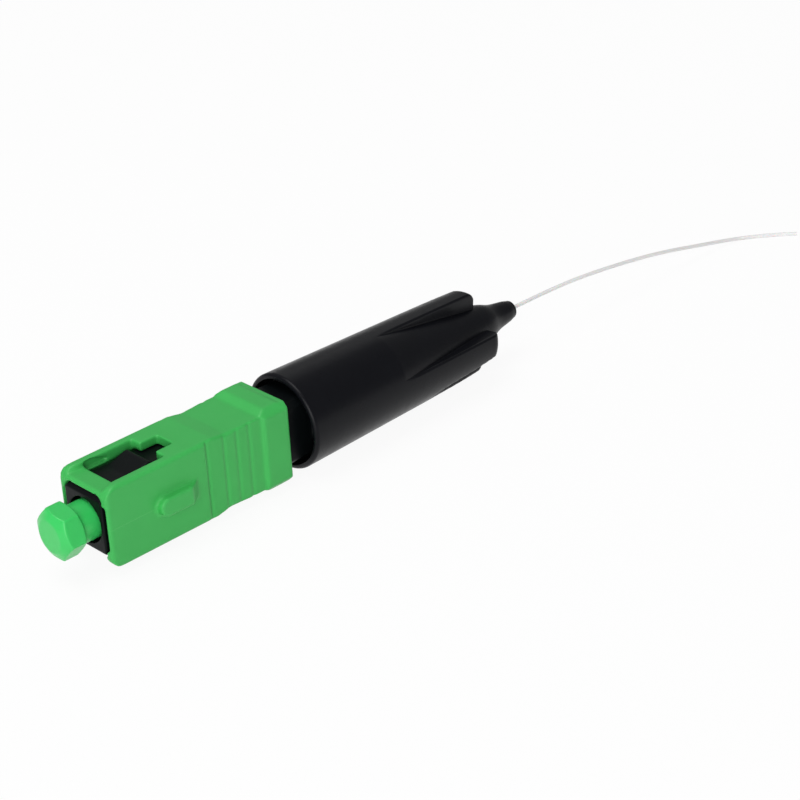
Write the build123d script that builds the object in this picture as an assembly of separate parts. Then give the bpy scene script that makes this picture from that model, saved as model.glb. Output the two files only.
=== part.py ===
"""Field installable fibre connector, push-pull style, with a screwed tail cap.

Millimetres. X runs along the optical axis from the ferrule (-X) to the tail (+X), +Z is up. The origin is
on the optical axis in the grip's front plane. The key is on the -Y face, the latch windows are on the Z faces.
"""

import math
import os

from build123d import *

# Running clearances
SLIDE_GAP = 0.10        # grip on frame, and ring in tail cap
SEAT_GAP = 0.05         # a piece seated in its pocket
BORE_GAP = 0.05         # dust cap bore on the ferrule
GLASS_GAP = 0.005       # glass fibre in its groove or bore
CAP_GAP = 0.75          # between the pulled grip and the tail cap
NECK_GAP = 0.48         # between the neck's corners and the mouth of the tail cap

# Travels
GRIP_TRAVEL = 1.5
FERRULE_TRAVEL = 1.2

# Black plug frame
FRAME_LENGTH = 20.6
FRAME_HALF_Y = 2.85
FRAME_HALF_Z = 3.40
FRAME_CORNER = 1.00
FRAME_NOSE_BEVEL = 0.50
FRONT_BORE_RADIUS = FRAME_HALF_Y - 0.40
SHOULDER_START = 7.0
SHOULDER_END = 7.7
SHOULDER_HOLE_RADIUS = 1.50
CAVITY_RADIUS = FRAME_HALF_Y - 0.60
LATCH_START = 4.6
LATCH_PEAK = 6.8
LATCH_END = 7.2
LATCH_RISE = 0.70
LATCH_HALF_Y = 1.90

# Green grip
GRIP_LENGTH = 23.4
GRIP_WALL_Y = 0.75
GRIP_WALL_Z = 1.00
GRIP_HALF_Y = FRAME_HALF_Y + SLIDE_GAP + GRIP_WALL_Y
GRIP_HALF_Z = FRAME_HALF_Z + SLIDE_GAP + GRIP_WALL_Z
GRIP_EDGE = 0.30        # bevel of the long edges at the front
GRIP_REAR_EDGE = 0.75   # the same at the flange
GRIP_NOSE_RADIUS = 1.60
GRIP_NOSE_EDGE = 0.50
WAIST_START_SHARE = 0.538
WAIST_END_SHARE = 0.844
WAIST_START = GRIP_LENGTH * WAIST_START_SHARE
WAIST_END = GRIP_LENGTH * WAIST_END_SHARE
WAIST_DROP_Y = 0.15
WAIST_DROP_Z = 0.25
WAIST_EASE_START = 1.0  # the window faces fall to the waist later and more gently
WAIST_EASE_END = 2.8
RIB_COUNT = 4
RIB_FIRST_SHARE = 0.32  # the first field is longer than the others
RIB_DEPTH = 0.22
RIB_SLOPE = 0.45
FLANGE_RISE_Y = 0.20
FLANGE_RISE_Z = 0.25
FLANGE_FLARE = 0.90     # length of the slope from waist to flange
LIP_WIDTH = 0.80
LIP_STEP = 0.12
MOUTH_FLARE = 0.40

# Windows in the two Z faces of the grip
BRIDGE_END = 2.4
BRIDGE_THICKNESS = 0.40
LOWER_BRIDGE_START = 1.4
WINDOW_END = 8.3
WINDOW_HALF_Y = FRAME_HALF_Y - 0.30
SLOT_END = 10.5
SLOT_HALF_Y = 1.20
CAM_TOP_X = 3.6
CAM_FOOT_X = 5.8
FUNNEL_LENGTH = 2.2
FUNNEL_WIDTH = 0.60

# Key on the -Y face
KEY_START = 5.9
KEY_END = 11.2
KEY_HALF_WIDTH = 1.0
KEY_RISE = 0.90
KEY_FADE = 1.3

# Ferrule and its flange
FERRULE_RADIUS = 1.25
FERRULE_LENGTH = 10.5
FERRULE_TIP_X = -1.2
FERRULE_TIP_RADIUS = 0.85
FERRULE_TIP_TAPER = 0.60
POLISH_ANGLE = 8.0
FLANGE_RADIUS = CAVITY_RADIUS - 0.15
FLANGE_WIDTH = 1.10
HUB_WALL_SHARE = 0.41
HUB_RADIUS = FERRULE_RADIUS + HUB_WALL_SHARE * (FLANGE_RADIUS - FERRULE_RADIUS)
HUB_END = 10.6

# Splice, between the hub and the spring's seat in the rear body
SPRING_SEAT = FRAME_LENGTH - 1.0
SPLICE_START = HUB_END + 0.3
SPLICE_LENGTH_SHARE = 0.4653
SPLICE_END = SPLICE_START + SPLICE_LENGTH_SHARE * (SPRING_SEAT - SPLICE_START)
SPLICE_HALF_Y_SHARE = 0.548
SPLICE_FLOOR_SHARE = 0.571
SPLICE_TOP_SHARE = 0.524
SPLICE_HALF_Y = SPLICE_HALF_Y_SHARE * FLANGE_RADIUS
SPLICE_FLOOR = -SPLICE_FLOOR_SHARE * FLANGE_RADIUS
SPLICE_TOP = SPLICE_TOP_SHARE * FLANGE_RADIUS
SPLIT_PLANE = 0.07      # plane where lid and base meet
CLIP_WALL = 0.15
CLIP_MARGIN = 0.40
CLIP_LIP = 0.45
HOLDER_RADIUS = FLANGE_RADIUS
HOLDER_END = SPLICE_END + 0.2
HOLDER_RING_END = HOLDER_END + 0.8
HOLDER_RING_SHARE = 0.81
HOLDER_RING_RADIUS = HOLDER_RING_SHARE * HOLDER_RADIUS
HOLDER_RING_BORE = 0.55
HOLDER_SLEEVE_END = HUB_END + 0.2
HOLDER_WALL_SHARE = 0.43
HOLDER_WALL_TOP = HOLDER_WALL_SHARE * HOLDER_RADIUS

# Spring
SPRING_WIRE_RADIUS = 0.16
SPRING_BORE_RADIUS = CAVITY_RADIUS - 0.35
SPRING_RADIUS = SPRING_BORE_RADIUS - 0.50
SPRING_TURNS = 5
SPRING_WIRE_SIDES = 8   # the wire's section is a polygon, which keeps the coil light

# Rear body
SPIGOT_START = HOLDER_END + FERRULE_TRAVEL + 0.6
SPIGOT_HALF_Y = CAVITY_RADIUS - SEAT_GAP
SPIGOT_HALF_Z = FRAME_HALF_Z - 0.65
SOCKET_START = SPIGOT_START - 0.2
SNAP_SHARE = 0.3636
SNAP_START = SPIGOT_START + SNAP_SHARE * (FRAME_LENGTH - SPIGOT_START)
SNAP_LENGTH_SHARE = 0.3286
SNAP_LENGTH = SNAP_LENGTH_SHARE * (FRAME_LENGTH - SPIGOT_START)
SNAP_HALF_Y = 1.10
SNAP_RISE = 0.45
NECK_START = FRAME_LENGTH + 0.1
NECK_HALF_Y = FRAME_HALF_Y + 0.05
NECK_HALF_Z = FRAME_HALF_Z + 0.20
NECK_BEVEL = 0.60
REAR_POCKET_START = NECK_START - GRIP_TRAVEL - 0.2
CAP_FRONT = GRIP_LENGTH + GRIP_TRAVEL + CAP_GAP
NECK_END = CAP_FRONT + 1.55
BOSS_RADIUS = 3.30
BOSS_END = NECK_END + 6.4
BOSS_BEVEL = 0.3
JAW_RADIUS = 2.60
JAW_CONE_START = BOSS_END + 4.2
JAW_END = BOSS_END + 7.4
JAW_TIP_RADIUS = 1.90
JAW_SLOT_WIDTH = 0.50
JAW_SLOT_START = BOSS_END + 2.0
JAW_SLOTS = 4
GUIDE_BORE_RADIUS = 1.00
CLAMP_BORE_RADIUS = 1.15
CLAMP_BORE_START = BOSS_END + 0.9

# Fibre guide and soft clamp insert
GUIDE_START = SPRING_SEAT + 0.4
GUIDE_COLLAR_END = CLAMP_BORE_START + 0.7
GUIDE_BORE = 0.30
GUIDE_NOSE_BORE = 0.12
GUIDE_NOSE_END = GUIDE_START + 1.6
GUIDE_BEVEL = 0.3
INSERT_END = JAW_END - 0.4
INSERT_SLIT = 0.12

# Fibre
GLASS_RADIUS = 0.0625
COAT_RADIUS = 0.225
FIBRE_JOINT_X = (SPLICE_START + SPLICE_END) / 2
COAT_START = GUIDE_NOSE_END + 0.5
FIBRE_GAP = 0.015

# Clamp ring
RING_START = JAW_CONE_START + 0.4
RING_END = RING_START + 2.4
RING_RADIUS = 3.15

# Tail cap
CAP_LENGTH = 28.3       # to the ends of the lobes
CAP_LOBE_END = CAP_FRONT + CAP_LENGTH
CAP_MOUTH_RADIUS = math.hypot(NECK_HALF_Y - NECK_BEVEL, NECK_HALF_Z) + NECK_GAP
CAP_FRONT_RADIUS = CAP_MOUTH_RADIUS + 0.60
CAP_LOBE_RADIUS = 4.70
CAP_RIM_ROUND = 0.45
CAP_MOUTH_END = CAP_FRONT + 2.65
CAP_THREAD_GAP = 0.10
CAP_THREAD_END = BOSS_END + 1.9
CAP_CAVITY_RADIUS = 2.60
CAP_CAVITY_END = JAW_END + 4.0
CAP_CHANNEL_RADIUS = 0.45
TIP_LENGTH = 6.5
TIP_END = CAP_LOBE_END + TIP_LENGTH
TIP_RADIUS = 1.00
TIP_CORE_RADIUS = 2.05  # between the lobes
TIP_ROOT_RADIUS = 2.45
TIP_ROOT_START = CAP_LOBE_END - 0.2
TIP_ROOT_END = CAP_LOBE_END + 1.5
TIP_NECK_RADIUS = 1.57
TIP_NECK_X = CAP_LOBE_END + 3.0
TIP_EDGE = 0.35

# Scoops of the tail cap: radius, start before the lobe end, height of the floor at the lobe end
BROAD_SCOOP_RADIUS = 3.0
BROAD_SCOOP_LENGTH = 15.0
BROAD_SCOOP_FLOOR = 1.95
BROAD_SCOOP_ANGLES = (132.0, 312.0)
NARROW_SCOOP_RADIUS = 1.3
NARROW_SCOOP_LENGTH = 10.2
NARROW_SCOOP_FLOOR = 2.40
NARROW_SCOOP_ANGLES = (45.0, 225.0)

# Dust cap
DUST_FACE_X = -4.3
DUST_FACE_RADIUS = 1.72
DUST_CONE_END = -3.65
DUST_HEAD_END = -1.75
DUST_HEX_RADIUS = 2.86  # to the corners
DUST_HEX_TURN = 10.5
DUST_HEAD_EDGE = 0.25
DUST_SHAFT_RADIUS = FRONT_BORE_RADIUS - 0.35
DUST_SHAFT_END = SHOULDER_START - 0.4
DUST_BORE_START = -2.0

# Free fibre: route of its centre line from the nose of the tail cap, one point for each turn
FIBRE_DROP = COAT_RADIUS - CAP_FRONT_RADIUS
FIBRE_ROUTE = [
    (TIP_END, 0.0, 0.0),
    (TIP_END + 7.6, 0.0, 0.0),
    (TIP_END + 16.6, 0.0, -0.85),
    (TIP_END + 25.6, -0.1, -2.15),
    (TIP_END + 34.0, -0.3, -3.95),
    (TIP_END + 40.0, -0.7, FIBRE_DROP),
    (TIP_END + 43.6, -3.3, FIBRE_DROP),
    (TIP_END + 46.0, -5.6, FIBRE_DROP),
]
ARC_SHARE = 0.45


def rod(x0, x1, radius):
    """Round bar along X."""
    return Pos(x0, 0, 0) * Rot(0, 90, 0) * Cylinder(radius, x1 - x0, align=(Align.CENTER, Align.CENTER, Align.MIN))


def turned(profile):
    """Solid turned about X from (x, radius) points."""
    outline = Polyline(*[(x, 0, r) for x, r in profile], close=True)
    return revolve(make_face(outline), axis=Axis.X)


def bar(x0, x1, half_y, half_z, corner=0.0):
    """Rectangular bar along X, with rounded long edges if a corner radius is given."""
    section = Plane(origin=(x0, 0, 0), x_dir=(0, 1, 0), z_dir=(1, 0, 0))
    shape = RectangleRounded(2 * half_y, 2 * half_z, corner) if corner else Rectangle(2 * half_y, 2 * half_z)
    return extrude(section * shape, amount=x1 - x0)


def box(x, y, z):
    """Box from its two limits on each axis."""
    return Pos(x[0], y[0], z[0]) * Box(
        x[1] - x[0], y[1] - y[0], z[1] - z[0], align=(Align.MIN, Align.MIN, Align.MIN)
    )


def side_prism(points, half_y, nose_radius=0.0):
    """Prism with an outline in XZ, reaching half_y to both sides, with its foremost corners rounded if asked."""
    outline = make_face(Polyline(*[(x, 0, z) for x, z in points], close=True))
    if nose_radius:
        outline = fillet(outline.vertices().group_by(Axis.X)[0], nose_radius)
    return extrude(outline, amount=half_y, both=True)


def plan_prism(points, half_z, nose_radius=0.0):
    """Prism with an outline in XY, reaching half_z up and down, with its foremost corners rounded if asked."""
    outline = make_face(Polyline(*[(x, y, 0) for x, y in points], close=True))
    if nose_radius:
        outline = fillet(outline.vertices().group_by(Axis.X)[0], nose_radius)
    return extrude(outline, amount=half_z, both=True)


def both_sides(outline):
    """Outline in the upper half closed by its mirror image in the lower half."""
    return outline + [(x, -h) for x, h in reversed(outline)]


def grip_envelope():
    """Outside of the grip: side outline, plan outline and two outlines for the bevelled edges, intersected."""
    big = 2 * GRIP_HALF_Z
    flare_end = WAIST_END + FLANGE_FLARE
    waist_y = GRIP_HALF_Y - WAIST_DROP_Y
    waist_z = GRIP_HALF_Z - WAIST_DROP_Z
    flange_y = GRIP_HALF_Y + FLANGE_RISE_Y
    flange_z = GRIP_HALF_Z + FLANGE_RISE_Z
    ease_start = WAIST_START + WAIST_EASE_START
    ease_end = WAIST_START + WAIST_EASE_END
    side = [
        (0, GRIP_HALF_Z),
        (ease_start, GRIP_HALF_Z),
        (ease_end, waist_z),
        (WAIST_END, waist_z),
        (flare_end, flange_z),
        (GRIP_LENGTH - LIP_WIDTH, flange_z),
        (GRIP_LENGTH - LIP_WIDTH, flange_z - LIP_STEP),
        (GRIP_LENGTH, flange_z - LIP_STEP),
    ]
    tall = side_prism(both_sides(side), big, GRIP_NOSE_RADIUS)
    first = WAIST_START + RIB_FIRST_SHARE * (WAIST_END - WAIST_START)
    pitch = (WAIST_END - first) / (RIB_COUNT - 1)
    plan = [(0, GRIP_HALF_Y), (WAIST_START, GRIP_HALF_Y)]
    for x in [WAIST_START] + [first + i * pitch for i in range(RIB_COUNT - 1)]:
        plan += [(x, waist_y), (x, waist_y - RIB_DEPTH), (x + RIB_SLOPE, waist_y)]
    plan += [(WAIST_END, waist_y), (WAIST_END, waist_y - RIB_DEPTH), (WAIST_END + RIB_SLOPE, flange_y)]
    plan.append((GRIP_LENGTH, flange_y))
    wide = plan_prism(both_sides(plan), big, GRIP_NOSE_EDGE)
    front_reach = (GRIP_HALF_Y + GRIP_HALF_Z - GRIP_EDGE) / math.sqrt(2)
    waist_reach = (waist_y + waist_z - GRIP_EDGE) / math.sqrt(2)
    rear_reach = (flange_y + flange_z - GRIP_REAR_EDGE) / math.sqrt(2)
    edge = [(0, front_reach), (ease_start, front_reach), (ease_end, waist_reach)]
    edge += [(WAIST_END, rear_reach), (GRIP_LENGTH, rear_reach)]
    bevel = side_prism(both_sides(edge), big)
    return tall & wide & (Rot(45, 0, 0) * bevel) & (Rot(-45, 0, 0) * bevel)


def key():
    """Key on the -Y face: round at the front, fading into the face at the rear."""
    face_y = -GRIP_HALF_Y
    round_x = KEY_START + KEY_HALF_WIDTH
    front = Pos(round_x, face_y, 0) * Rot(90, 0, 0) * Cylinder(
        KEY_HALF_WIDTH, KEY_RISE, align=(Align.CENTER, Align.CENTER, Align.MIN)
    )
    bar_part = box((round_x, KEY_END), (face_y - KEY_RISE, face_y), (-KEY_HALF_WIDTH, KEY_HALF_WIDTH))
    fade = plan_prism(
        [
            (KEY_END - KEY_FADE, face_y - KEY_RISE),
            (KEY_END, face_y - KEY_RISE),
            (KEY_END, face_y),
        ],
        2 * KEY_HALF_WIDTH,
    )
    return front + bar_part - fade


def window_cut(front_x):
    """Everything that is cut out of the upper window face, from the mouth to the end of the slot."""
    passage_z = FRAME_HALF_Z + SLIDE_GAP
    passage_y = FRAME_HALF_Y + SLIDE_GAP
    bridge_top = passage_z + BRIDGE_THICKNESS
    above = 2 * GRIP_HALF_Z
    window_top = GRIP_HALF_Z - 0.15
    wide = box((BRIDGE_END, WINDOW_END), (-WINDOW_HALF_Y, WINDOW_HALF_Y), (0, above))
    slot = box((WINDOW_END, SLOT_END), (-SLOT_HALF_Y, SLOT_HALF_Y), (0, above))
    over_bridge = box((-1, BRIDGE_END), (-WINDOW_HALF_Y, WINDOW_HALF_Y), (bridge_top, above))
    cam = side_prism(
        [
            (BRIDGE_END, passage_z - 0.1),
            (BRIDGE_END, window_top),
            (CAM_TOP_X, window_top),
            (CAM_FOOT_X, passage_z),
            (CAM_FOOT_X, passage_z - 0.1),
        ],
        passage_y,
    )
    cut = wide + slot + over_bridge + cam
    for side in (-1, 1):
        edge_y = side * WINDOW_HALF_Y
        funnel = Solid.make_loft(
            [
                Wire.make_polygon(
                    [
                        (-0.01, edge_y - side * 0.1, bridge_top),
                        (FUNNEL_LENGTH * 0.4, edge_y - side * 0.1, bridge_top),
                        (FUNNEL_LENGTH * 0.4, edge_y, bridge_top),
                        (-0.01, edge_y + side * FUNNEL_WIDTH * 0.4, bridge_top),
                    ]
                ),
                Wire.make_polygon(
                    [
                        (-0.01, edge_y - side * 0.1, GRIP_HALF_Z + 0.01),
                        (FUNNEL_LENGTH, edge_y - side * 0.1, GRIP_HALF_Z + 0.01),
                        (FUNNEL_LENGTH, edge_y, GRIP_HALF_Z + 0.01),
                        (-0.01, edge_y + side * FUNNEL_WIDTH, GRIP_HALF_Z + 0.01),
                    ]
                ),
            ],
            ruled=True,
        )
        cut += funnel
    if front_x > 0:
        cut += box((-1, front_x), (-WINDOW_HALF_Y, WINDOW_HALF_Y), (0, above))
    return cut


def outer_housing():
    """Green grip: a sleeve with two bridged windows, a key, a ribbed waist and a rear flange."""
    passage_y = FRAME_HALF_Y + SLIDE_GAP
    passage_z = FRAME_HALF_Z + SLIDE_GAP
    body = grip_envelope() + key()
    body -= bar(-1, REAR_POCKET_START, passage_y, passage_z, FRAME_CORNER)
    body -= bar(REAR_POCKET_START, 2 * GRIP_LENGTH, NECK_HALF_Y + SLIDE_GAP, NECK_HALF_Z + SLIDE_GAP)
    mouth = plan_prism(
        [
            (-0.01, -passage_y - MOUTH_FLARE),
            (-0.01, passage_y + MOUTH_FLARE),
            (MOUTH_FLARE * 3, passage_y),
            (MOUTH_FLARE * 3, -passage_y),
        ],
        passage_z - FRAME_CORNER,
    )
    body -= mouth
    body -= window_cut(0)
    body -= mirror(window_cut(LOWER_BRIDGE_START), about=Plane.XY)
    return body


def plug_frame():
    """Black frame: front bore, ferrule shoulder, cavity, socket for the rear body and two latch ramps."""
    body = bar(0, FRAME_LENGTH, FRAME_HALF_Y, FRAME_HALF_Z, FRAME_CORNER)
    for side in (-1, 1):
        body -= side_prism(
            [
                (-0.01, side * (FRAME_HALF_Z - FRAME_NOSE_BEVEL)),
                (-0.01, side * (FRAME_HALF_Z + 0.1)),
                (FRAME_NOSE_BEVEL, side * (FRAME_HALF_Z + 0.1)),
                (FRAME_NOSE_BEVEL, side * FRAME_HALF_Z),
            ],
            FRAME_HALF_Y + 1,
        )
        body += side_prism(
            [
                (LATCH_START, side * (FRAME_HALF_Z - 0.2)),
                (LATCH_START, side * FRAME_HALF_Z),
                (LATCH_PEAK, side * (FRAME_HALF_Z + LATCH_RISE)),
                (LATCH_END, side * (FRAME_HALF_Z + LATCH_RISE)),
                (LATCH_END, side * (FRAME_HALF_Z - 0.2)),
            ],
            LATCH_HALF_Y,
        )
    body -= rod(-1, SHOULDER_START, FRONT_BORE_RADIUS)
    body -= rod(SHOULDER_START, SHOULDER_END, SHOULDER_HOLE_RADIUS)
    body -= rod(SHOULDER_END, SOCKET_START, CAVITY_RADIUS)
    body -= bar(SOCKET_START, 2 * FRAME_LENGTH, SPIGOT_HALF_Y + SEAT_GAP, SPIGOT_HALF_Z + SEAT_GAP)
    body -= bar(
        SNAP_START - SEAT_GAP,
        SNAP_START + SNAP_LENGTH + SEAT_GAP,
        SNAP_HALF_Y + SEAT_GAP,
        FRAME_HALF_Z + 1,
    )
    return body


def dust_cap():
    """Dust cap: chamfered hexagonal head on a hollow shaft that grips the ferrule."""
    head = turned(
        [
            (DUST_FACE_X, 0),
            (DUST_FACE_X, DUST_FACE_RADIUS),
            (DUST_CONE_END, DUST_HEX_RADIUS),
            (DUST_HEAD_END - DUST_HEAD_EDGE, DUST_HEX_RADIUS),
            (DUST_HEAD_END, DUST_HEX_RADIUS - 2 * DUST_HEAD_EDGE),
            (DUST_HEAD_END, 0),
        ]
    )
    section = Plane(origin=(DUST_FACE_X, 0, 0), x_dir=(0, 1, 0), z_dir=(1, 0, 0))
    hexagon = section * Rot(0, 0, DUST_HEX_TURN) * RegularPolygon(DUST_HEX_RADIUS, 6)
    head &= extrude(hexagon, amount=DUST_HEAD_END - DUST_FACE_X)
    cap = head + rod(DUST_HEAD_END, DUST_SHAFT_END, DUST_SHAFT_RADIUS)
    return cap - rod(DUST_BORE_START, DUST_SHAFT_END, FERRULE_RADIUS + BORE_GAP)


def ferrule():
    """Ceramic ferrule with a tapered nose and an angled end face."""
    back = FERRULE_TIP_X + FERRULE_LENGTH
    body = turned(
        [
            (FERRULE_TIP_X, 0),
            (FERRULE_TIP_X, FERRULE_TIP_RADIUS),
            (FERRULE_TIP_X + FERRULE_TIP_TAPER, FERRULE_RADIUS),
            (back, FERRULE_RADIUS),
            (back, 0),
        ]
    )
    lean = FERRULE_TIP_RADIUS * math.tan(math.radians(POLISH_ANGLE))
    body -= side_prism(
        [
            (FERRULE_TIP_X - 1, -FERRULE_RADIUS),
            (FERRULE_TIP_X, -FERRULE_TIP_RADIUS),
            (FERRULE_TIP_X + 2 * lean, FERRULE_TIP_RADIUS),
            (FERRULE_TIP_X + 2 * lean, FERRULE_RADIUS),
            (FERRULE_TIP_X - 1, FERRULE_RADIUS),
        ],
        FERRULE_RADIUS,
    )
    return body - rod(FERRULE_TIP_X - 1, back, GLASS_RADIUS + GLASS_GAP)


def ferrule_flange():
    """Metal flange and hub that the ferrule is pressed into."""
    ferrule_back = FERRULE_TIP_X + FERRULE_LENGTH
    start = SHOULDER_END + SEAT_GAP
    body = rod(start, start + FLANGE_WIDTH, FLANGE_RADIUS) + rod(start + FLANGE_WIDTH, HUB_END, HUB_RADIUS)
    for side in (-1, 1):
        notch = (side * FLANGE_RADIUS - 0.35, side * FLANGE_RADIUS + 0.35)
        body -= box((start - 1, start + FLANGE_WIDTH), (-0.4, 0.4), notch)
    body -= rod(start - 1, ferrule_back, FERRULE_RADIUS)
    return body - rod(ferrule_back, HUB_END, 2 * GUIDE_NOSE_BORE)


def fibre_stub():
    """Glass stub from the polished end face to the middle of the splice."""
    lean = FERRULE_TIP_RADIUS * math.tan(math.radians(POLISH_ANGLE))
    return rod(FERRULE_TIP_X + lean, FIBRE_JOINT_X, GLASS_RADIUS)


def splice_holder():
    """Carrier behind the flange: sleeve on the hub, open trough for the splice, ring for the spring."""
    sleeve_start = SHOULDER_END + SEAT_GAP + FLANGE_WIDTH
    pocket_y = SPLICE_HALF_Y + CLIP_WALL + SEAT_GAP
    pocket_floor = SPLICE_FLOOR - CLIP_WALL - SEAT_GAP
    body = rod(sleeve_start, HOLDER_END, HOLDER_RADIUS) + rod(HOLDER_END, HOLDER_RING_END, HOLDER_RING_RADIUS)
    body -= rod(sleeve_start, HUB_END, HUB_RADIUS)
    body -= rod(HUB_END, HOLDER_RING_END, HOLDER_RING_BORE)
    body -= box((HOLDER_SLEEVE_END, HOLDER_END), (-pocket_y, pocket_y), (pocket_floor, HOLDER_RADIUS))
    body -= box(
        (HOLDER_SLEEVE_END, HOLDER_END), (-HOLDER_RADIUS, HOLDER_RADIUS), (HOLDER_WALL_TOP, HOLDER_RADIUS)
    )
    return body


def groove_prism(extra):
    """V groove along the splice, with its walls just clear of the glass."""
    depth = (GLASS_RADIUS + GLASS_GAP) * math.sqrt(2)
    half = SPLIT_PLANE + depth
    section = Plane(origin=(SPLICE_START - extra, 0, 0), x_dir=(0, 1, 0), z_dir=(1, 0, 0))
    outline = make_face(Polyline((0, -depth), (half, SPLIT_PLANE), (-half, SPLIT_PLANE), close=True))
    return extrude(section * outline, amount=SPLICE_END - SPLICE_START + 2 * extra)


def splice_base():
    """Block with the V groove and a funnel at its rear end."""
    body = box((SPLICE_START, SPLICE_END), (-SPLICE_HALF_Y, SPLICE_HALF_Y), (SPLICE_FLOOR, SPLIT_PLANE))
    return body - groove_prism(1) - splice_funnel()


def splice_funnel():
    """Funnel that the stripped fibre enters by."""
    return turned([(SPLICE_END - 0.8, 0), (SPLICE_END - 0.8, 0.05), (SPLICE_END, 0.4), (SPLICE_END, 0)])


def splice_lid():
    """Flat lid over the groove, with a pressing ridge on top."""
    body = box((SPLICE_START, SPLICE_END), (-SPLICE_HALF_Y, SPLICE_HALF_Y), (SPLIT_PLANE, SPLICE_TOP))
    return body - splice_funnel()


def splice_clip():
    """Spring clip of C section round base and lid."""
    outer = SPLICE_HALF_Y + CLIP_WALL
    start = SPLICE_START + CLIP_MARGIN
    end = SPLICE_END - CLIP_MARGIN
    body = box((start, end), (-outer, outer), (SPLICE_FLOOR - CLIP_WALL, SPLICE_TOP + CLIP_WALL))
    body -= box((start, end), (-SPLICE_HALF_Y, SPLICE_HALF_Y), (SPLICE_FLOOR, SPLICE_TOP))
    opening = SPLICE_HALF_Y - CLIP_LIP
    body -= box((start, end), (-opening, opening), (SPLICE_TOP, SPLICE_TOP + CLIP_WALL))
    return body


def ferrule_spring():
    """Coil spring of half rings that lean to and fro, so that each runs into the next without a kink."""
    start = HOLDER_RING_END + SPRING_WIRE_RADIUS
    half_pitch = (SPRING_SEAT - SPRING_WIRE_RADIUS - start) / (2 * SPRING_TURNS)
    coil = None
    for i in range(2 * SPRING_TURNS):
        side = 1 if i % 2 == 0 else -1
        middle = Vector(start + (i + 0.5) * half_pitch, 0, 0)
        begin = Vector(start + i * half_pitch, 0, side * SPRING_RADIUS)
        wire = Plane(origin=begin, x_dir=(1, 0, 0), z_dir=(0, 1, 0)) * RegularPolygon(SPRING_WIRE_RADIUS, SPRING_WIRE_SIDES)
        normal = (begin - middle).cross(Vector(0, side, 0))
        half_ring = revolve(wire, axis=Axis(middle, normal), revolution_arc=180)
        coil = half_ring if coil is None else coil + half_ring
    return coil


def rear_body():
    """Rear body: snap-in spigot, square neck, thread boss and slotted clamping jaws."""
    spigot = bar(SPIGOT_START, NECK_START, SPIGOT_HALF_Y, SPIGOT_HALF_Z)
    for side in (-1, 1):
        spigot += side_prism(
            [
                (SNAP_START, side * (SPIGOT_HALF_Z - 0.2)),
                (SNAP_START, side * SPIGOT_HALF_Z),
                (SNAP_START + SNAP_LENGTH, side * (SPIGOT_HALF_Z + SNAP_RISE)),
                (SNAP_START + SNAP_LENGTH, side * (SPIGOT_HALF_Z - 0.2)),
            ],
            SNAP_HALF_Y,
        )
    neck = bar(NECK_START, NECK_END, NECK_HALF_Y, NECK_HALF_Z)
    neck = chamfer(neck.edges().filter_by(Axis.X), NECK_BEVEL)
    jaws = turned(
        [
            (NECK_END, 0),
            (NECK_END, BOSS_RADIUS),
            (BOSS_END - BOSS_BEVEL, BOSS_RADIUS),
            (BOSS_END, BOSS_RADIUS - BOSS_BEVEL),
            (BOSS_END, JAW_RADIUS),
            (JAW_CONE_START, JAW_RADIUS),
            (JAW_END, JAW_TIP_RADIUS),
            (JAW_END, 0),
        ]
    )
    body = spigot + neck + jaws
    body -= rod(SPIGOT_START - 1, SPRING_SEAT, SPRING_BORE_RADIUS)
    body -= rod(SPRING_SEAT, CLAMP_BORE_START, GUIDE_BORE_RADIUS)
    body -= rod(CLAMP_BORE_START, JAW_END, CLAMP_BORE_RADIUS)
    for i in range(JAW_SLOTS):
        slot = box((JAW_SLOT_START, JAW_END + 1), (-JAW_SLOT_WIDTH / 2, JAW_SLOT_WIDTH / 2), (0, 2 * JAW_RADIUS))
        body -= Rot(45 + 360 / JAW_SLOTS * i, 0, 0) * slot
    return body


def fibre_guide():
    """Tube with a funnel nose that leads the stripped fibre to the splice."""
    tube_radius = GUIDE_BORE_RADIUS - SEAT_GAP
    collar_radius = CLAMP_BORE_RADIUS - SEAT_GAP
    return turned(
        [
            (GUIDE_START, GUIDE_NOSE_BORE),
            (GUIDE_START, tube_radius - GUIDE_BEVEL),
            (GUIDE_START + GUIDE_BEVEL, tube_radius),
            (CLAMP_BORE_START, tube_radius),
            (CLAMP_BORE_START, collar_radius),
            (GUIDE_COLLAR_END, collar_radius),
            (GUIDE_COLLAR_END, GUIDE_BORE),
            (GUIDE_NOSE_END + 0.5, GUIDE_BORE),
            (GUIDE_NOSE_END, GUIDE_NOSE_BORE),
        ]
    )


def clamp_insert():
    """Soft slit sleeve between the jaws and the fibre."""
    body = rod(GUIDE_COLLAR_END, INSERT_END, CLAMP_BORE_RADIUS - SEAT_GAP)
    body -= rod(GUIDE_COLLAR_END, INSERT_END, COAT_RADIUS + FIBRE_GAP)
    slit = box((GUIDE_COLLAR_END, INSERT_END), (-INSERT_SLIT / 2, INSERT_SLIT / 2), (0, CLAMP_BORE_RADIUS))
    return body - slit


def bare_fibre():
    """Stripped glass end of the field fibre."""
    return rod(FIBRE_JOINT_X, COAT_START, GLASS_RADIUS)


def inner_fibre():
    """Coated field fibre from its stripped end to the nose of the tail cap."""
    return rod(COAT_START, TIP_END, COAT_RADIUS)


def clamp_ring():
    """Ring with a conical bore that closes the jaws as the tail cap drives it forward."""
    slope = (JAW_RADIUS - JAW_TIP_RADIUS) / (JAW_END - JAW_CONE_START)
    radius_at = [JAW_RADIUS - slope * (x - JAW_CONE_START) + SEAT_GAP for x in (RING_START, RING_END)]
    return turned(
        [(RING_START, radius_at[0]), (RING_START, RING_RADIUS), (RING_END, RING_RADIUS), (RING_END, radius_at[1])]
    )


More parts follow.
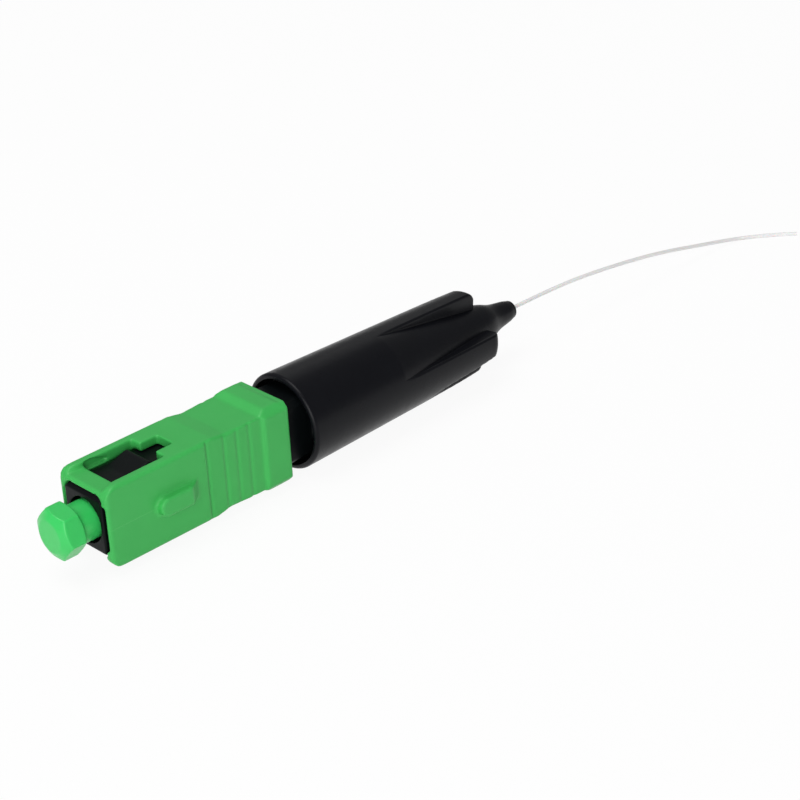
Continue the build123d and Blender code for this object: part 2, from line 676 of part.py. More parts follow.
def scoop(radius, length, floor, angle):
    """Round-bottomed cutter that dives towards the axis over its length before the lobe end."""
    start = CAP_LOBE_END - length
    over = 2 * radius
    slope = (CAP_FRONT_RADIUS - CAP_LOBE_RADIUS) / (CAP_LOBE_END - CAP_FRONT)
    skin = CAP_FRONT_RADIUS - slope * (start - CAP_FRONT)
    begin = Vector(start, 0, skin + radius)
    end = Vector(CAP_LOBE_END, 0, floor + radius)
    along = (end - begin).normalized()
    origin = begin - along * over
    cutter = Plane(origin=origin, z_dir=along) * Cylinder(
        radius, (end - begin).length + 2 * over, align=(Align.CENTER, Align.CENTER, Align.MIN)
    )
    return Rot(angle - 90, 0, 0) * cutter


def tail_cap():
    """Screwed tail cap: tapered barrel, four scoops that leave four lobes, conical nose, stepped bore."""
    body = turned(
        [
            (CAP_FRONT, 0),
            (CAP_FRONT, CAP_FRONT_RADIUS - CAP_RIM_ROUND),
            (CAP_FRONT + CAP_RIM_ROUND, CAP_FRONT_RADIUS),
            (CAP_LOBE_END - CAP_RIM_ROUND, CAP_LOBE_RADIUS),
            (CAP_LOBE_END, CAP_LOBE_RADIUS - CAP_RIM_ROUND),
            (CAP_LOBE_END, 0),
        ]
    )
    for angle in BROAD_SCOOP_ANGLES:
        body -= scoop(BROAD_SCOOP_RADIUS, BROAD_SCOOP_LENGTH, BROAD_SCOOP_FLOOR, angle)
    for angle in NARROW_SCOOP_ANGLES:
        body -= scoop(NARROW_SCOOP_RADIUS, NARROW_SCOOP_LENGTH, NARROW_SCOOP_FLOOR, angle)
    body += turned(
        [
            (CAP_CAVITY_END, 0),
            (CAP_CAVITY_END, TIP_CORE_RADIUS),
            (TIP_ROOT_START - 1, TIP_CORE_RADIUS),
            (TIP_ROOT_START, TIP_ROOT_RADIUS),
            (TIP_ROOT_END, TIP_ROOT_RADIUS),
            (TIP_NECK_X, TIP_NECK_RADIUS),
            (TIP_END - TIP_EDGE, TIP_RADIUS + TIP_EDGE / 2),
            (TIP_END, TIP_RADIUS - TIP_EDGE / 2),
            (TIP_END, 0),
        ]
    )
    hollow = turned(
        [
            (CAP_FRONT - 1, 0),
            (CAP_FRONT - 1, CAP_MOUTH_RADIUS),
            (CAP_MOUTH_END, CAP_MOUTH_RADIUS),
            (CAP_MOUTH_END, BOSS_RADIUS + CAP_THREAD_GAP),
            (CAP_THREAD_END, BOSS_RADIUS + CAP_THREAD_GAP),
            (CAP_THREAD_END, RING_RADIUS + SLIDE_GAP),
            (RING_END + SEAT_GAP, RING_RADIUS + SLIDE_GAP),
            (RING_END + SEAT_GAP, CAP_CAVITY_RADIUS),
            (CAP_CAVITY_END, CAP_CHANNEL_RADIUS),
            (TIP_END + 1, CAP_CHANNEL_RADIUS),
            (TIP_END + 1, 0),
        ]
    )
    return body - hollow


def route_radii(points):
    """Arc radius at each inner point of a route: 0.45 of the shorter run over the tangent of half the turn."""
    radii = []
    for before, here, after in zip(points, points[1:], points[2:]):
        incoming = Vector(*here) - Vector(*before)
        outgoing = Vector(*after) - Vector(*here)
        half_turn = math.radians(incoming.get_angle(outgoing) / 2)
        radii.append(ARC_SHARE * min(incoming.length, outgoing.length) / math.tan(half_turn))
    return radii


def outer_fibre():
    """Free fibre from the nose of the tail cap, drooping and then lying on the surface."""
    radii = route_radii(FIBRE_ROUTE)
    path = FilletPolyline(*FIBRE_ROUTE, radius=radii)
    section = Plane(origin=path @ 0, z_dir=path % 0) * Circle(COAT_RADIUS)
    tube = sweep(section, path=path)
    expected = math.pi * COAT_RADIUS**2 * path.length
    print("fibre radii", [round(r, 1) for r in radii], "length", round(path.length, 2))
    print("fibre volume", round(tube.volume, 4), "expected", round(expected, 4))
    return tube


PARTS = [
    outer_housing,
    plug_frame,
    dust_cap,
    ferrule,
    ferrule_flange,
    fibre_stub,
    splice_holder,
    splice_base,
    splice_lid,
    splice_clip,
    ferrule_spring,
    rear_body,
    fibre_guide,
    clamp_insert,
    bare_fibre,
    inner_fibre,
    clamp_ring,
    tail_cap,
    outer_fibre,
]

os.makedirs("parts", exist_ok=True)
for make in PARTS:
    export_step(make(), f"parts/{make.__name__}.step")
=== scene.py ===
import math

import bmesh
import bpy
import numpy as np
from mathutils import Matrix, Vector


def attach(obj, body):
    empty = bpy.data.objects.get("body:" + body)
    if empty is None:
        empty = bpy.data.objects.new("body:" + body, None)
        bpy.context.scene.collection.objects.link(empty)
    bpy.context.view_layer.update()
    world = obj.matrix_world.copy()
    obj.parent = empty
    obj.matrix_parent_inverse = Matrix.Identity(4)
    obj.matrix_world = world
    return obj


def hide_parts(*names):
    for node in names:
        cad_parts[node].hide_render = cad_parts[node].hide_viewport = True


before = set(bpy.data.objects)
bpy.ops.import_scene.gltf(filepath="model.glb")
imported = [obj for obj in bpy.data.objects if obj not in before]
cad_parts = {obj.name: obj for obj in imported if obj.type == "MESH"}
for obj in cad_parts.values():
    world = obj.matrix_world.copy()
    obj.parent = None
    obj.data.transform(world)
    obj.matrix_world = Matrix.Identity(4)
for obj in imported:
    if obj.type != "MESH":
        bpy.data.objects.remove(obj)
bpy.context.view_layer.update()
MM = 0.001
scene = bpy.context.scene

# Camera: a long lens from the front left, looking down on the key side, with the plug low on the left.

VIEW_RIGHT = Vector((0.7116, -0.70089, -0.04879))
VIEW_UP = Vector((0.3622, 0.30647, 0.88028))
VIEW_AHEAD = Vector((0.60202, 0.64408, -0.47195))
VIEW_SHIFT_RIGHT = 30.49
VIEW_SHIFT_UP = 11.59
VIEW_DISTANCE = 220
FOCAL_LENGTH = 102.17
SENSOR_WIDTH = 36
camera_data = bpy.data.cameras.new("camera")
camera_data.lens = FOCAL_LENGTH
camera_data.sensor_width = SENSOR_WIDTH
camera_data.clip_start = 0.01
camera = bpy.data.objects.new("camera", camera_data)
scene.collection.objects.link(camera)
camera_place = VIEW_RIGHT * VIEW_SHIFT_RIGHT + VIEW_UP * VIEW_SHIFT_UP - VIEW_AHEAD * VIEW_DISTANCE
camera_turn = Matrix((VIEW_RIGHT, VIEW_UP, -VIEW_AHEAD)).transposed().to_4x4()
camera.matrix_world = Matrix.Translation(camera_place * MM) @ camera_turn
scene.camera = camera


# The free fibre is a single glass fibre in a white acrylate coating, 0.45 mm across, drawn by the kilometre.
# It leaves the nose of the tail cap straight, sags under its own weight and comes to lie on the table.

FIBRE_DIAMETER = 0.45
FIBRE_ROUTE = [
    (60.45, 0, 0),
    (68.05, 0, 0),
    (77.05, 0, -0.85),
    (86.05, -0.1, -2.15),
    (94.45, -0.3, -3.95),
    (100.45, -0.7, -5.127),
    (104.05, -3.3, -5.127),
    (106.45, -5.6, -5.127),
]
fibre_line = bpy.data.curves.new("fibre_line", "CURVE")
fibre_line.dimensions = "3D"
fibre_line.bevel_depth = FIBRE_DIAMETER / 2 * MM
fibre_line.bevel_resolution = 6
fibre_line.use_fill_caps = True
spline = fibre_line.splines.new("NURBS")
spline.points.add(len(FIBRE_ROUTE) - 1)
for point, (x, y, z) in zip(spline.points, FIBRE_ROUTE):
    point.co = (x * MM, y * MM, z * MM, 1)
spline.order_u = 3
spline.use_endpoint_u = True
spline.resolution_u = 24
fibre = bpy.data.objects.new("coated_fibre", fibre_line)
scene.collection.objects.link(fibre)


class Level:
    """A number that varies over a surface. Sums, differences and products of levels add Math nodes."""

    def __init__(self, tree, socket):
        self.tree = tree
        self.socket = socket

    def maths(self, operation, *terms):
        node = self.tree.nodes.new("ShaderNodeMath")
        node.operation = operation
        for entry, term in zip(node.inputs, terms):
            if isinstance(term, Level):
                self.tree.links.new(term.socket, entry)
            else:
                entry.default_value = term
        return Level(self.tree, node.outputs[0])

    def __add__(self, other):
        return self.maths("ADD", self, other)

    def __radd__(self, other):
        return self.maths("ADD", other, self)

    def __sub__(self, other):
        return self.maths("SUBTRACT", self, other)

    def __rsub__(self, other):
        return self.maths("SUBTRACT", other, self)

    def __mul__(self, other):
        return self.maths("MULTIPLY", self, other)

    def __rmul__(self, other):
        return self.maths("MULTIPLY", other, self)

    def size(self):
        return self.maths("ABSOLUTE", self)

    def below(self, limit, soft):
        """1 where the level is below the limit, 0 above limit + soft, with a straight ramp between."""
        return (((limit + soft) - self) * (1 / soft)).clamped()

    def clamped(self):
        return self.maths("MINIMUM", self.maths("MAXIMUM", self, 0.0), 1.0)


class Finish:
    """A material: a principled shader whose constant sockets are set by name."""

    def __init__(self, name, **constants):
        self.material = bpy.data.materials.new(name)
        self.material.use_nodes = True
        self.tree = self.material.node_tree
        self.shader = self.tree.nodes["Principled BSDF"]
        for socket, value in constants.items():
            self.shader.inputs[socket.replace("_", " ")].default_value = value
        place = self.node("ShaderNodeTexCoord", {}, "Object")
        scale = {"operation": "SCALE"}
        self.place = self.node("ShaderNodeVectorMath", scale, "Vector", Vector=place, Scale=1 / MM)
        self.x, self.y, self.z = (
            self.node("ShaderNodeSeparateXYZ", {}, axis, Vector=self.place) for axis in "XYZ"
        )

    def node(self, kind, settings, output, **values):
        """Adds a node of any kind: its settings first, then the numbers or levels of its sockets."""
        node = self.tree.nodes.new(kind)
        for setting, value in settings.items():
            setattr(node, setting, value)
        for socket, value in values.items():
            entry = node.inputs[int(socket[1:]) if socket[0] == "_" else socket]
            if isinstance(value, Level):
                self.tree.links.new(value.socket, entry)
            else:
                entry.default_value = value
        return Level(self.tree, node.outputs[output])

    def speckle(self, per_mm, detail=2.0, stretch=None):
        """Noise from 0 to 1 with so many grains to a millimetre, drawn out along an axis if asked."""
        place = self.place
        if stretch:
            draw = {"operation": "MULTIPLY"}
            place = self.node("ShaderNodeVectorMath", draw, "Vector", _0=place, _1=stretch)
        return self.node("ShaderNodeTexNoise", {}, "Fac", Vector=place, Scale=per_mm, Detail=detail)

    def blend(self, share, first, second):
        """Colour that goes from the first to the second with the share."""
        first, second = (c if isinstance(c, Level) else (*c, 1) for c in (first, second))
        return self.node("ShaderNodeMix", {"data_type": "RGBA"}, 2, _0=share, _6=first, _7=second)

    def feed(self, **levels):
        for socket, level in levels.items():
            self.tree.links.new(level.socket, self.shader.inputs[socket.replace("_", " ")])

    def relief(self, height, depth_mm):
        """Bump whose full height is so many millimetres deep."""
        depth = depth_mm * MM
        self.feed(Normal=self.node("ShaderNodeBump", {}, "Normal", Height=height, Distance=depth))

    def cover(self, *objects):
        for thing in objects:
            thing.data.materials.clear()
            thing.data.materials.append(self.material)


coating = Finish("fibre_coating", IOR=1.48, Subsurface_Weight=0.15, Subsurface_Scale=0.2 * MM)
drawn = coating.speckle(3.0, stretch=(0.15, 1, 1))
coating.feed(Base_Color=coating.blend(drawn, (0.70, 0.70, 0.70), (0.86, 0.86, 0.85)))
coating.feed(Roughness=0.30 + 0.15 * coating.speckle(2.0))
coating.relief(drawn, 0.004)
coating.cover(fibre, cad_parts["inner_fibre"])
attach(fibre, "connector_body")
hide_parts("outer_fibre")


# The grip is a green sleeve moulded in one piece, with a window and a bridge in each broad face and a key on
# one narrow face. It slides on the plug frame inside it, so that pulling it frees the plug from its adapter.

MERGE_DISTANCE = 0.0005
KEY_FACE_Y = -3.7
PARTING_END_X = 5.4


def eased_copy(node_name, name, body, grain, passes):
    """Copy of a CAD node cut into even faces one grain wide, whose corners are then averaged with their
    neighbours a number of times. Flat faces stay flat, and edges round over about one grain.
    The grain is in mm, so the mesh is cut at 1000 times its size."""
    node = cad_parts[node_name]
    mesh = node.data.copy()
    shape = bmesh.new()
    shape.from_mesh(mesh)
    bmesh.ops.remove_doubles(shape, verts=shape.verts, dist=MERGE_DISTANCE * MM)
    bmesh.ops.scale(shape, vec=(1 / MM, 1 / MM, 1 / MM), verts=shape.verts)
    shape.to_mesh(mesh)
    shape.free()
    draft = bpy.data.objects.new(name + "_draft", mesh)
    scene.collection.objects.link(draft)
    cells = draft.modifiers.new("cells", "REMESH")
    cells.mode = "VOXEL"
    cells.voxel_size = grain
    soften = draft.modifiers.new("soften", "SMOOTH")
    soften.factor = 0.5
    soften.iterations = passes
    settled = draft.evaluated_get(bpy.context.evaluated_depsgraph_get())
    eased = bpy.data.meshes.new_from_object(settled)
    bpy.data.objects.remove(draft)
    eased.name = name
    corners = np.empty(len(eased.vertices) * 3)
    eased.vertices.foreach_get("co", corners)
    eased.vertices.foreach_set("co", corners * MM)
    eased.polygons.foreach_set("use_smooth", np.ones(len(eased.polygons), dtype=bool))
    eased.update()
    piece = bpy.data.objects.new(name, eased)
    scene.collection.objects.link(piece)
    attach(piece, body)
    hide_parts(node_name)
    return piece


grip = eased_copy("outer_housing", "pull_grip", "grip", grain=0.14, passes=7)
green = Finish("grip_plastic", IOR=1.46, Specular_IOR_Level=0.35)
cloud = green.speckle(0.25, 3.0)
fine = green.speckle(9.0, 3.0)
parting = green.z.size().below(0.02, 0.03) * green.y.below(KEY_FACE_Y + 0.05, 0.05)
parting = parting * green.x.below(PARTING_END_X, 0.2)
body_green = green.blend(cloud, (0.040, 0.388, 0.078), (0.049, 0.436, 0.091))
green.feed(Base_Color=green.blend(0.45 * parting, body_green, (0.09, 0.50, 0.13)))
green.feed(Roughness=0.36 + 0.12 * green.speckle(1.2, 3.0))
green.relief(fine + 0.4 * green.speckle(1.0) - 1.5 * parting, 0.006)
green.cover(grip)


# The plug frame is the black body inside the grip, moulded in glass-filled plastic. Its two latch ramps show
# in the windows, and its round mouth shows behind the dust cap.

inner_body = eased_copy(
    "plug_frame", "latch_frame", "connector_body", grain=0.13, passes=2
)
black = Finish("black_plastic", IOR=1.5, Specular_IOR_Level=0.12)
strands = black.speckle(4.0, 3.0, stretch=(0.4, 1, 1))
black.feed(Base_Color=black.blend(strands, (0.0012, 0.0021, 0.0024), (0.0026, 0.0040, 0.0046)))
black.feed(Roughness=0.34 + 0.18 * black.speckle(1.5, 3.0))
black.relief(strands + 0.5 * black.speckle(12.0), 0.006)
black.cover(inner_body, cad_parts["clamp_ring"])


# The dust cap is a bright green moulding with a six-sided head to pull it by. Its hollow shaft fits over the
# ferrule and keeps the polished end clean.

cap = eased_copy("dust_cap", "ferrule_cover", "dust_cover", grain=0.09, passes=7)
bright = Finish("cap_plastic", IOR=1.48, Subsurface_Weight=0.12, Subsurface_Scale=0.6 * MM)
bright.shader.inputs["Subsurface Radius"].default_value = (0.2, 1.0, 0.3)
flow = bright.speckle(0.5, 3.0)
bright.feed(Base_Color=bright.blend(flow, (0.030, 0.500, 0.098), (0.040, 0.560, 0.118)))
bright.feed(Roughness=0.26 + 0.14 * bright.speckle(1.6, 3.0))
bright.relief(bright.speckle(5.0, 3.0) + 0.5 * flow, 0.006)
bright.cover(cap)


# The ferrule is ground from white zirconia and polished at an angle. It is pressed into a nickel-plated
# flange, and the glass stub that is glued in it reaches into the splice.

ceramic = Finish("ceramic", IOR=2.1, Subsurface_Weight=0.2, Subsurface_Scale=0.4 * MM)
ceramic.feed(Base_Color=ceramic.blend(ceramic.speckle(1.0), (0.82, 0.82, 0.79), (0.89, 0.89, 0.86)))
ground = ceramic.speckle(14.0, 2.0, stretch=(3.0, 0.6, 0.6))
ceramic.feed(Roughness=0.10 + 0.10 * ground)
ceramic.relief(ground, 0.001)
ceramic.cover(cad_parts["ferrule"])
plated = Finish("flange_metal", Metallic=1.0)
plated.feed(Base_Color=plated.blend(plated.speckle(2.0), (0.56, 0.55, 0.52), (0.68, 0.67, 0.65)))
turned_marks = plated.speckle(10.0, 2.0, stretch=(3.0, 0.3, 0.3))
plated.feed(Roughness=0.18 + 0.16 * turned_marks)
plated.relief(turned_marks, 0.003)
plated.cover(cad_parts["ferrule_flange"])
glass = Finish("glass_fibre", IOR=1.46, Transmission_Weight=0.7)
glass.feed(Base_Color=glass.blend(glass.speckle(0.5), (0.86, 0.90, 0.93), (0.95, 0.97, 1.0)))
glass.feed(Roughness=0.03 + 0.04 * glass.speckle(2.0))
glass.cover(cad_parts["fibre_stub"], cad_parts["bare_fibre"])


# The splice joins the stub to the field fibre: a grooved base and a flat lid of clear hard plastic, held shut
# by a spring steel clip, in a carrier of natural plastic that is snapped on the flange's hub.

natural = Finish("holder_plastic", IOR=1.5, Subsurface_Weight=0.15, Subsurface_Scale=0.5 * MM)
natural.feed(Base_Color=natural.blend(natural.speckle(0.8, 3.0), (0.64, 0.63, 0.58), (0.74, 0.74, 0.71)))
natural.feed(Roughness=0.40 + 0.15 * natural.speckle(2.0))
natural.relief(natural.speckle(8.0, 3.0), 0.005)
natural.cover(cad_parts["splice_holder"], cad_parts["fibre_guide"])
pale = Finish("splice_plastic", IOR=1.58, Transmission_Weight=0.25)
pale.feed(Base_Color=pale.blend(pale.speckle(1.0), (0.70, 0.73, 0.75), (0.80, 0.82, 0.83)))
pale.feed(Roughness=0.16 + 0.12 * pale.speckle(3.0))
pale.relief(pale.speckle(6.0), 0.003)
pale.cover(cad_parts["splice_base"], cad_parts["splice_lid"])
strip = Finish("clip_steel", Metallic=1.0)
rolled = strip.speckle(6.0, 3.0, stretch=(0.15, 1, 1))
strip.feed(Base_Color=strip.blend(rolled, (0.52, 0.52, 0.52), (0.66, 0.66, 0.67)))
strip.feed(Roughness=0.24 + 0.18 * rolled)
strip.relief(rolled, 0.003)
strip.cover(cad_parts["splice_clip"])


# The ferrule spring is wound from hard-drawn steel wire and pushes the ferrule forward against its shoulder.

wire = Finish("spring_steel", Metallic=1.0)
die_marks = wire.speckle(12.0, 3.0)
wire.feed(Base_Color=wire.blend(die_marks, (0.46, 0.46, 0.47), (0.62, 0.62, 0.63)))
wire.feed(Roughness=0.22 + 0.18 * die_marks)
wire.relief(die_marks, 0.003)
wire.cover(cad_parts["ferrule_spring"])


# The rear body is one black moulding: a spigot that snaps into the plug frame, the square neck, a threaded
# boss and four slotted jaws. A soft grey sleeve inside the jaws holds the coated fibre.

neck = eased_copy(
    "rear_body", "square_neck_body", "connector_body", grain=0.11, passes=3
)
black.cover(neck)
rubber = Finish("clamp_rubber", IOR=1.5, Specular_IOR_Level=0.3)
rubber.feed(Base_Color=rubber.blend(rubber.speckle(2.0, 3.0), (0.20, 0.20, 0.20), (0.29, 0.29, 0.29)))
rubber.feed(Roughness=0.62 + 0.2 * rubber.speckle(3.0))
rubber.relief(rubber.speckle(9.0, 3.0), 0.01)
rubber.cover(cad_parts["clamp_insert"])


# The tail cap is moulded in smooth black plastic and screws onto the rear body, which drives the clamp ring
# over the jaws. Four lobes round a cone in its rear half are there to turn it by, and the cone runs on into a
# tapered nose that guides the fibre out.

CAP_FRONT = 25.65
CAP_FRONT_RADIUS = 5.352
CAP_LOBE_END = 53.95
CAP_LOBE_RADIUS = 4.70
CAP_MOUTH_RADIUS = 4.752
CAP_MOUTH_END = 28.30
CAP_RIM_ROUND = 0.42
RIM_INSET = 0.008
LOBE_ROUND = 0.85
LOBE_ROUND_SHARE = 0.6  # most of a lobe's height that its end rounding takes
END_FACE_DEPTH = 0.08
OPENING_ANGLES = (133.0, 313.0)
OPENING_HALF_ANGLE = 34.5
WALL_SPREAD = 1.0
CREST_SPREAD = 3.5
CREST_DROP = 0.16
CREST_SHARE = 0.35
NARROW_ANGLES = (45.0, 225.0)
NARROW_RADIUS = 1.3
NARROW_LENGTH = 10.2
NARROW_FLOOR = 2.60
NARROW_BLEND = 0.3
TIP_END = 60.45
TIP_EDGE = 0.35
NOSE_BLEND = 0.7
CORE = [(25.0, 7.379), (53.95, 2.55), (55.60, 2.25), (57.25, 1.58), (60.10, 1.14), (60.45, 0.85)]
THREAD_PITCH = 1.0
THREAD_DEPTH = 0.30
THREAD_CREST = 3.40
THREAD_START = 28.9
THREAD_END = 35.2
THREAD_FADE = 0.6
CHANNEL_RADIUS = 0.45
CAVITY_END = 40.65
BORE = [
    (TIP_END, 0.62),
    (TIP_END - 0.12, 0.46),
    (TIP_END - 0.4, CHANNEL_RADIUS),
    (52.0, CHANNEL_RADIUS),
    (45.0, CHANNEL_RADIUS),
    (CAVITY_END + 0.01, 2.60),
    (CAVITY_END, 2.62),
    (CAVITY_END, 3.23),
    (CAVITY_END - 0.03, 3.25),
    (35.52, 3.25),
    (35.50, 3.27),
    (35.50, 3.38),
    (35.45, THREAD_CREST),
]
MOUTH = [
    (28.34, THREAD_CREST),
    (CAP_MOUTH_END, 3.44),
    (CAP_MOUTH_END, 4.70),
    (28.24, CAP_MOUTH_RADIUS),
    (25.95, CAP_MOUTH_RADIUS),
    (25.72, CAP_MOUTH_RADIUS + 0.03),
    (CAP_FRONT, CAP_MOUTH_RADIUS + 0.10),
]
COLUMN_STEP = 1.6
CLOSE_STEP = 0.2
SIDE_ROWS = 110
NOSE_ROWS = 40
THREAD_ROWS = 64


def soft_min(a, b, width):
    """Smaller of two radii, with the corner between them rounded over the width."""
    h = np.clip(0.5 + 0.5 * (b - a) / width, 0, 1)
    return b + (a - b) * h - width * h * (1 - h)


def core_radius(x):
    """Radius of the cone and nose: straight between the points of the core."""
    return np.interp(x, *zip(*CORE))


def lobed_radius(x, phi):
    """Radius of the cap's outside: the tapered barrel, with a straight cone to the nose in two wide openings,
    whose side walls drop over a degree from a rounded crest, and two narrow round cutters that dive to the
    axis."""
    slope = (CAP_FRONT_RADIUS - CAP_LOBE_RADIUS) / (CAP_LOBE_END - CAP_FRONT)
    barrel = CAP_FRONT_RADIUS - slope * (x - CAP_FRONT)
    depth = np.clip(barrel - core_radius(x), 0, None)
    radius = barrel + 0 * phi
    for angle in OPENING_ANGLES:
        off = np.abs((np.degrees(phi) - angle + 180) % 360 - 180) - OPENING_HALF_ANGLE
        share = np.clip(0.5 - off / WALL_SPREAD, 0, 1)
        drop = depth * share**2 * (3 - 2 * share)
        crest = np.clip(1 - off / CREST_SPREAD, 0, 1) ** 2 * np.minimum(CREST_DROP, CREST_SHARE * depth)
        radius = radius - np.maximum(drop, crest)
    start = CAP_LOBE_END - NARROW_LENGTH
    skin = CAP_FRONT_RADIUS - slope * (start - CAP_FRONT)
    middle = skin + (NARROW_FLOOR - skin) * (x - start) / NARROW_LENGTH + NARROW_RADIUS
    for angle in NARROW_ANGLES:
        turn = phi - math.radians(angle)
        across = middle * np.sin(turn)
        inside = np.clip(NARROW_RADIUS**2 - across**2, 0, None)
        near_wall = middle * np.cos(turn) - np.sqrt(inside)
        beyond = np.clip(np.abs(across) - NARROW_RADIUS, 0, None)
        wall = np.where(np.cos(turn) > 0, near_wall + 4 * beyond, 99.0)
        radius = soft_min(radius, wall, NARROW_BLEND)
    return radius


def closed_surface(name, x, y, z):
    """Mesh from a grid that is closed both along its profile (rows) and round the axis (columns)."""
    rows, columns = x.shape
    corners = np.stack([x, y, z], axis=-1).reshape(-1, 3) * MM
    index = np.arange(rows * columns).reshape(rows, columns)
    down = np.roll(index, -1, axis=0)
    right = np.roll(index, -1, axis=1)
    across = np.roll(down, -1, axis=1)
    quads = np.stack([index, right, across, down], axis=-1).reshape(-1, 4)
    mesh = bpy.data.meshes.new(name)
    mesh.from_pydata(corners, [], quads.tolist())
    mesh.polygons.foreach_set("use_smooth", np.ones(len(mesh.polygons), dtype=bool))
    mesh.update()
    piece = bpy.data.objects.new(name, mesh)
    scene.collection.objects.link(piece)
    return piece


def turned_rows(profile, phi):
    """Rows of a turned profile: each point's place along the axis and its radius, the same all round."""
    x, r = np.array(profile).T[:, :, None]
    return x + 0 * phi, r + 0 * phi


def cap_grid():
    """Profile carried round the axis: rim, barrel with openings, lobe ends, nose, then back through the bore.
    Columns lie closer at the openings' side walls."""
    by_wall = OPENING_HALF_ANGLE + np.arange(-0.8, 3.8, CLOSE_STEP)
    close = np.add.outer(OPENING_ANGLES, np.concatenate([by_wall, -by_wall])).ravel()
    columns = np.concatenate([np.arange(0, 360, COLUMN_STEP), close]) % 360
    phi = np.radians(np.unique(np.round(columns, 4)))[None, :]
    quarter = np.linspace(0, np.pi / 2, 7)[:, None]
    rim_x = CAP_FRONT + CAP_RIM_ROUND * (1 - np.sin(quarter)) + 0 * phi
    rim_r = CAP_FRONT_RADIUS - CAP_RIM_ROUND * (1 - np.cos(quarter)) - RIM_INSET + 0 * phi
    round_x = CAP_LOBE_END - LOBE_ROUND
    side_x = np.linspace(CAP_FRONT + CAP_RIM_ROUND + 0.1, round_x, SIDE_ROWS)[:, None] + 0 * phi
    height = np.clip(lobed_radius(np.full_like(phi, round_x), phi) - core_radius(round_x), 0, None)
    round_r = np.minimum(LOBE_ROUND, LOBE_ROUND_SHARE * height)
    turn = quarter[1:]
    end_x = round_x + LOBE_ROUND * np.sin(turn) + 0 * phi
    end_r = core_radius(end_x) + height - round_r * (1 - np.cos(turn))
    face = np.linspace(0, 1, 10)[1:, None]
    face_x = CAP_LOBE_END + END_FACE_DEPTH * face + 0 * phi
    face_r = core_radius(face_x) + (height - round_r) * (1 - face)
    edge_x = TIP_END - TIP_EDGE
    nose_x = np.linspace(CAP_LOBE_END + 0.14, edge_x, NOSE_ROWS)[:, None] + 0 * phi
    nose_r = sum(core_radius(nose_x + d) for d in np.linspace(-NOSE_BLEND, NOSE_BLEND, 9)) / 9
    tip = np.linspace(0, 1, 6)[1:, None] * np.pi / 2
    tip_x = edge_x + TIP_EDGE * np.sin(tip) + 0 * phi
    tip_r = nose_r[-1:] - TIP_EDGE * (1 - np.cos(tip)) + 0 * phi
    thread_x = np.linspace(THREAD_END, THREAD_START, THREAD_ROWS)[:, None] + 0 * phi
    tooth = np.abs(((thread_x / THREAD_PITCH - phi / (2 * np.pi)) % 1.0) * 2 - 1)
    fade = np.clip(np.minimum(THREAD_END - thread_x, thread_x - THREAD_START) / THREAD_FADE, 0, 1)
    thread_r = THREAD_CREST + THREAD_DEPTH * np.clip(1.6 * tooth - 0.3, 0, 1) * fade
    parts = [
        (rim_x[::-1], rim_r[::-1]),
        (side_x, lobed_radius(side_x, phi)),
        (end_x, end_r),
        (face_x, face_r),
        (nose_x, nose_r),
        (tip_x, tip_r),
        turned_rows(BORE, phi),
        (thread_x, thread_r),
        turned_rows(MOUTH, phi),
    ]
    x, r = (np.concatenate(rows) for rows in zip(*parts))
    return x, r * np.cos(phi), r * np.sin(phi)


tail = closed_surface("lobed_tail_cap", *cap_grid())
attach(tail, "screw_cap")
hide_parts("tail_cap")
smooth_black = Finish("tail_plastic", IOR=1.5, Specular_IOR_Level=0.14)
veil = smooth_black.speckle(0.35, 4.0)
tail_black = smooth_black.blend(veil, (0.0028, 0.0031, 0.0046), (0.0044, 0.0048, 0.0068))
smooth_black.feed(Base_Color=tail_black)
smooth_black.feed(Roughness=0.22 + 0.20 * smooth_black.speckle(1.1, 4.0))
smooth_black.relief(smooth_black.speckle(0.8, 3.0) + 0.25 * smooth_black.speckle(7.0), 0.012)
smooth_black.cover(tail)


# The stage is a white table under a soft top light, with another by the camera and a weak one behind the
# tail. The table shows as even white, and keeps the part's shadow.

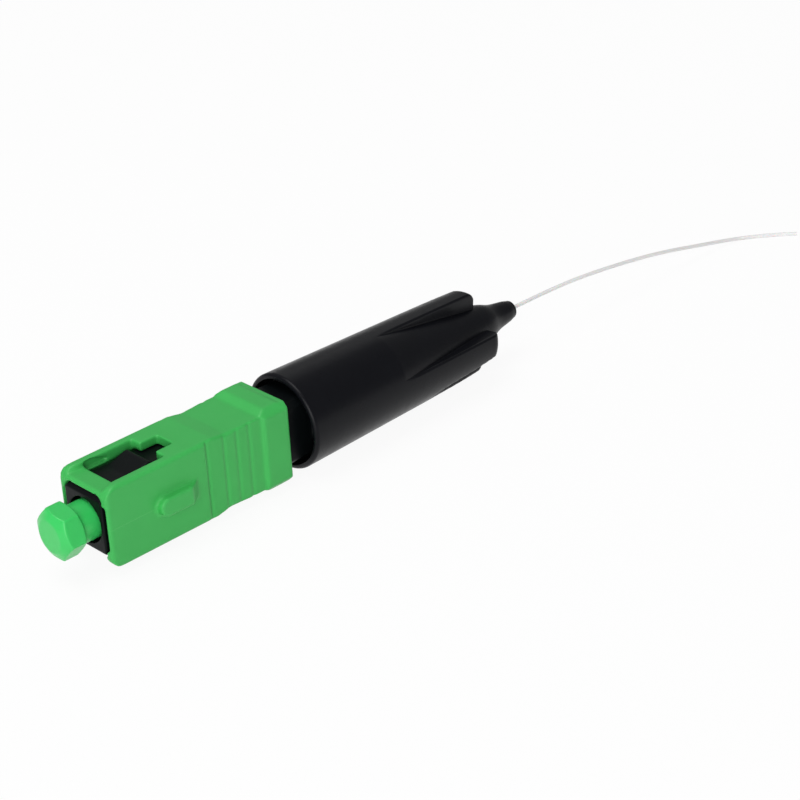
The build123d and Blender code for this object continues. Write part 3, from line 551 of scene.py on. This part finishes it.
FLOOR_HALF = 3
FLOOR_GLOW = 0.93
LIGHT_AIM_X = 0.03
floor_mesh = bpy.data.meshes.new("floor")
floor_corners = [(x * FLOOR_HALF, y * FLOOR_HALF, 0) for x, y in ((-1, -1), (1, -1), (1, 1), (-1, 1))]
floor_mesh.from_pydata(floor_corners, [], [(0, 1, 2, 3)])
floor = bpy.data.objects.new("floor", floor_mesh)
floor.location.z = -CAP_FRONT_RADIUS * MM
scene.collection.objects.link(floor)
table = bpy.data.materials.new("table_white")
table.use_nodes = True
tree = table.node_tree
paint = tree.nodes["Principled BSDF"]
paint.inputs["Base Color"].default_value = (0.86, 0.86, 0.86, 1)
paint.inputs["Roughness"].default_value = 0.9
glow = tree.nodes.new("ShaderNodeEmission")
path = tree.nodes.new("ShaderNodeLightPath")
seen = Level(tree, path.outputs["Is Camera Ray"]) + Level(tree, path.outputs["Is Glossy Ray"])
seen = (seen + Level(tree, path.outputs["Is Transmission Ray"])).clamped() * FLOOR_GLOW
join = tree.nodes.new("ShaderNodeMixShader")
tree.links.new(seen.socket, join.inputs[0])
tree.links.new(paint.outputs[0], join.inputs[1])
tree.links.new(glow.outputs[0], join.inputs[2])
tree.links.new(join.outputs[0], tree.nodes["Material Output"].inputs["Surface"])
floor_mesh.materials.append(table)


def soft_light(name, direction, distance, size, level):
    """Square light at a distance along a direction from the part's middle, turned to it."""
    lamp = bpy.data.lights.new(name, "AREA")
    lamp.shape = "SQUARE"
    lamp.size = size
    lamp.energy = level * 4 * math.pi * distance**2
    thing = bpy.data.objects.new(name, lamp)
    aim = Vector(direction).normalized()
    thing.location = Vector((LIGHT_AIM_X, 0, 0)) + aim * distance
    thing.rotation_euler = aim.to_track_quat("Z", "Y").to_euler()
    scene.collection.objects.link(thing)


soft_light("light_over", (-0.25, 0.1, 1.0), 0.6, 0.4, 0.45)
soft_light("light_by_camera", (-0.85, -0.6, 0.35), 0.6, 0.4, 0.50)
soft_light("light_behind", (0.60, 0.55, 0.57), 0.7, 0.30, 0.016)
world = bpy.data.worlds.new("world")
scene.world = world
world.use_nodes = True
sky = world.node_tree.nodes["Background"]
sky.inputs["Color"].default_value = (1, 1, 1, 1)
sky.inputs["Strength"].default_value = 0.30
scene.view_settings.view_transform = "Standard"
